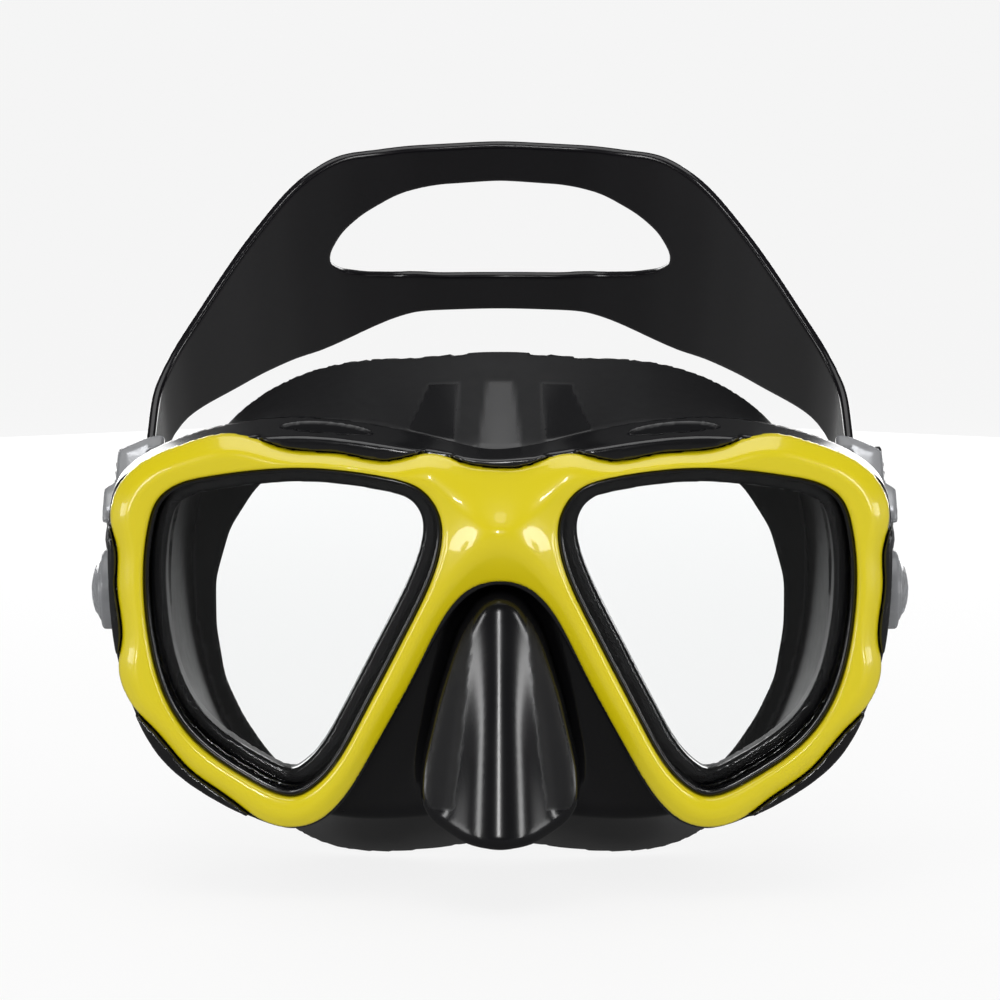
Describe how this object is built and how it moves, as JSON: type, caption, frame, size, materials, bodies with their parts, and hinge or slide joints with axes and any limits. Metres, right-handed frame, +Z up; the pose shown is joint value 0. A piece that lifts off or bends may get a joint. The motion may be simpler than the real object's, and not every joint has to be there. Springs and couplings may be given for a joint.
{
  "type": "snorkel mask",
  "caption": "Two-window snorkel mask with a silicone skirt and nose pocket, and a split head strap on swivelling push-button buckles.",
  "frame": {"origin": "symmetry plane, level with the middle of the front bezel's height, on the curved reference surface between bezel and frame; it lies in the nose pocket", "axes": "+X to the wearer's left, +Y backwards towards the wearer's face, +Z up"},
  "size_m": [0.1816, 0.1408, 0.1626],
  "materials": {
    "bezel_plastic": "glossy moulded",
    "frame_plastic": "semi-gloss moulded",
    "retainer_plastic": "polished",
    "lens_glass": "tempered, polished",
    "skirt_silicone": "satin silicone with polished areas",
    "strap_silicone": "polished silicone",
    "buckle_plastic": "smoky translucent",
    "acetal_plastic": "smooth",
    "stainless_steel": "plain"
  },
  "bodies": {
    "mask": {"front_bezel": "bezel_plastic", "main_frame": "frame_plastic", "lens_left": "lens_glass", "lens_right": "lens_glass", "lens_retainer_left": "retainer_plastic", "lens_retainer_right": "retainer_plastic", "skirt": "skirt_silicone", "swivel_pin_left": "stainless_steel", "swivel_pin_right": "stainless_steel", "swivel_clip_left": "stainless_steel", "swivel_clip_right": "stainless_steel"},
    "head_strap": {"strap": "strap_silicone"},
    "buckle_left": {"buckle_body_left": "buckle_plastic", "roller_pin_left": "stainless_steel", "pawl_pin_left": "stainless_steel", "button_spring_left": "stainless_steel"},
    "roller_left": {"strap_roller_left": "acetal_plastic"},
    "button_left": {"release_button_left": "buckle_plastic"},
    "pawl_left": {"locking_pawl_left": "acetal_plastic"},
    "buckle_right": {"buckle_body_right": "buckle_plastic", "roller_pin_right": "stainless_steel", "pawl_pin_right": "stainless_steel", "button_spring_right": "stainless_steel"},
    "roller_right": {"strap_roller_right": "acetal_plastic"},
    "button_right": {"release_button_right": "buckle_plastic"},
    "pawl_right": {"locking_pawl_right": "acetal_plastic"}
  },
  "joints": [
    {"name": "strap_swing", "type": "hinge", "parent": "mask", "child": "head_strap", "pos_m": [0, 0.0285, 0.005], "axis": [1, 0, 0], "range_deg": [-66, 20]},
    {"name": "buckle_swivel_left", "type": "hinge", "parent": "mask", "child": "buckle_left", "pos_m": [0.082, 0.0285, 0.005], "axis": [1, 0, 0], "range_deg": [-66, 20]},
    {"name": "roller_spin_left", "type": "hinge", "parent": "buckle_left", "child": "roller_left", "pos_m": [0.0822, 0.041, 0.01795], "axis": [0, -0.7193, 0.6947], "continuous": true},
    {"name": "button_press_left", "type": "slide", "parent": "buckle_left", "child": "button_left", "axis": [-1, 0, 0], "range_m": [0, 0.001], "stiffness_N_per_m": 800, "springref_m": -0.0003, "deforming": ["button_spring_left"]},
    {"name": "pawl_lift_left", "type": "hinge", "parent": "buckle_left", "child": "pawl_left", "pos_m": [0.087, 0.03642, 0.0132], "axis": [0, 0.7193, -0.6947], "range_deg": [0, 15]},
    {"name": "buckle_swivel_right", "type": "hinge", "parent": "mask", "child": "buckle_right", "pos_m": [-0.082, 0.0285, 0.005], "axis": [1, 0, 0], "range_deg": [-66, 20]},
    {"name": "roller_spin_right", "type": "hinge", "parent": "buckle_right", "child": "roller_right", "pos_m": [-0.0822, 0.041, 0.01795], "axis": [0, -0.7193, 0.6947], "continuous": true},
    {"name": "button_press_right", "type": "slide", "parent": "buckle_right", "child": "button_right", "axis": [1, 0, 0], "range_m": [0, 0.001], "stiffness_N_per_m": 800, "springref_m": -0.0003, "deforming": ["button_spring_right"]},
    {"name": "pawl_lift_right", "type": "hinge", "parent": "buckle_right", "child": "pawl_right", "pos_m": [-0.087, 0.03642, 0.0132], "axis": [0, -0.7193, 0.6947], "range_deg": [0, 15]}
  ],
  "couplings": [
    {"joint": "buckle_swivel_left", "follows": "strap_swing", "ratio": 1},
    {"joint": "pawl_lift_left", "follows": "button_press_left", "rad_per_m": 261.8},
    {"joint": "buckle_swivel_right", "follows": "strap_swing", "ratio": 1},
    {"joint": "pawl_lift_right", "follows": "button_press_right", "rad_per_m": 261.8}
  ]
}
